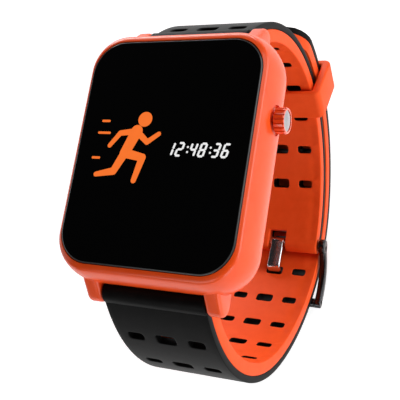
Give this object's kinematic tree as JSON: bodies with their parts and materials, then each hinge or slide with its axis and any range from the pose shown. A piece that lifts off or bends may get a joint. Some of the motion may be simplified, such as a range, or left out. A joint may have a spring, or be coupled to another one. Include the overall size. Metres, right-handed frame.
{
  "type": "gps running watch",
  "caption": "Running watch with a rounded rectangular case, a side crown and a two-layer perforated sports strap, fastened by a pin buckle and a keeper.",
  "frame": {"origin": "centre of the case back's outer face, on the skin side", "axes": "+Z out of the display, +X towards the crown side, +Y towards the 12 o'clock end of the case"},
  "size_m": [0.0384, 0.0763, 0.0732],
  "materials": {
    "case_orange": "satin moulded plastic",
    "cover_black": "fine matte",
    "silicone_black": "satin silicone",
    "silicone_orange": "satin silicone",
    "crown_orange": "satin moulded plastic",
    "glass_black": "polished, black backing",
    "lens_dark": "polished",
    "steel": "brushed",
    "steel_polished": "polished",
    "dark_metal": "dark plated",
    "board_green": "solder mask",
    "chip_black": "moulded epoxy",
    "panel_black": "gloss",
    "ribbon_amber": "polyimide",
    "chassis_grey": "moulded",
    "ceramic_cream": "ceramic",
    "battery_foil": "foil pouch",
    "foam_black": "foam",
    "gold_plate": "plated",
    "plug_white": "moulded"
  },
  "bodies": {
    "case": {"case_body": "case_orange", "rear_cover": "cover_black", "rear_gasket": "foam_black", "rear_screws": "steel", "sensor_window": "lens_dark", "sensor_board": "board_green", "sensor_leds": "plug_white", "photodiode": "chip_black", "charge_contacts": "gold_plate", "cover_glass": "glass_black", "glass_adhesive": "foam_black", "display_panel": "panel_black", "display_flex": "ribbon_amber", "chassis": "chassis_grey", "main_board": "board_green", "board_chips": "chip_black", "shield_can": "steel", "gps_antenna": "ceramic_cream", "battery": "battery_foil", "battery_pad": "foam_black", "battery_plug": "plug_white", "motor_can": "steel", "crown_tube": "steel", "switch_body": "chip_black", "upper_bar": "steel", "upper_spring": "steel", "lower_bar": "steel", "lower_spring": "steel", "buckle_bar": "steel", "buckle_spring": "steel", "upper_strap_outer": "silicone_black", "upper_strap_inner": "silicone_orange", "lower_strap_outer": "silicone_black", "lower_strap_inner": "silicone_orange"},
    "crown_slide": {"crown_collar": "steel"},
    "crown": {"crown_stem": "steel", "crown_oring": "foam_black", "crown_cap": "crown_orange", "crown_disc": "steel_polished"},
    "plunger": {"switch_plunger": "plug_white"},
    "rotor": {"motor_rotor": "gold_plate"},
    "upper_tip_left": {"upper_tip_left": "steel"},
    "upper_tip_right": {"upper_tip_right": "steel"},
    "lower_tip_left": {"lower_tip_left": "steel"},
    "lower_tip_right": {"lower_tip_right": "steel"},
    "buckle_tip_left": {"buckle_tip_left": "steel"},
    "buckle_tip_right": {"buckle_tip_right": "steel"},
    "buckle": {"buckle_frame": "dark_metal"},
    "tongue": {"buckle_tongue": "dark_metal"},
    "keeper": {"keeper": "silicone_orange"}
  },
  "joints": [
    {"name": "crown_push", "type": "slide", "parent": "case", "child": "crown_slide", "axis": [-1, 0, 0], "range_m": [0, 0.0003], "stiffness_N_per_m": 500},
    {"name": "crown_turn", "type": "hinge", "parent": "crown_slide", "child": "crown", "pos_m": [0.0182, 0.0076, 0.0054], "axis": [1, 0, 0], "continuous": true},
    {"name": "plunger_push", "type": "slide", "parent": "case", "child": "plunger", "axis": [-1, 0, 0], "range_m": [0, 0.0003]},
    {"name": "rotor_spin", "type": "hinge", "parent": "case", "child": "rotor", "pos_m": [0.0099, -0.0099, 0.0033], "axis": [0, 0, 1], "continuous": true},
    {"name": "upper_tip_left_slide", "type": "slide", "parent": "case", "child": "upper_tip_left", "axis": [1, 0, 0], "range_m": [0, 0.0012], "stiffness_N_per_m": 250},
    {"name": "upper_tip_right_slide", "type": "slide", "parent": "case", "child": "upper_tip_right", "axis": [-1, 0, 0], "range_m": [0, 0.0012], "stiffness_N_per_m": 250, "deforming": ["upper_spring"]},
    {"name": "lower_tip_left_slide", "type": "slide", "parent": "case", "child": "lower_tip_left", "axis": [1, 0, 0], "range_m": [0, 0.0012], "stiffness_N_per_m": 250},
    {"name": "lower_tip_right_slide", "type": "slide", "parent": "case", "child": "lower_tip_right", "axis": [-1, 0, 0], "range_m": [0, 0.0012], "stiffness_N_per_m": 250, "deforming": ["lower_spring"]},
    {"name": "buckle_tip_left_slide", "type": "slide", "parent": "case", "child": "buckle_tip_left", "axis": [1, 0, 0], "range_m": [0, 0.0012], "stiffness_N_per_m": 250},
    {"name": "buckle_tip_right_slide", "type": "slide", "parent": "case", "child": "buckle_tip_right", "axis": [-1, 0, 0], "range_m": [0, 0.0012], "stiffness_N_per_m": 250, "deforming": ["buckle_spring"]},
    {"name": "buckle_swing", "type": "hinge", "parent": "case", "child": "buckle", "pos_m": [0, -0.00189, -0.05597], "axis": [1, 0, 0], "range_deg": [0, 4]},
    {"name": "tongue_swing", "type": "hinge", "parent": "buckle", "child": "tongue", "pos_m": [0, -0.00189, -0.05597], "axis": [1, 0, 0], "range_deg": [0, 3]},
    {"name": "keeper_slide", "type": "hinge", "parent": "case", "child": "keeper", "pos_m": [0, 0, -0.0222], "axis": [1, 0, 0], "range_deg": [-52, 45]}
  ],
  "couplings": [
    {"joint": "plunger_push", "follows": "crown_push", "ratio": 1}
  ]
}
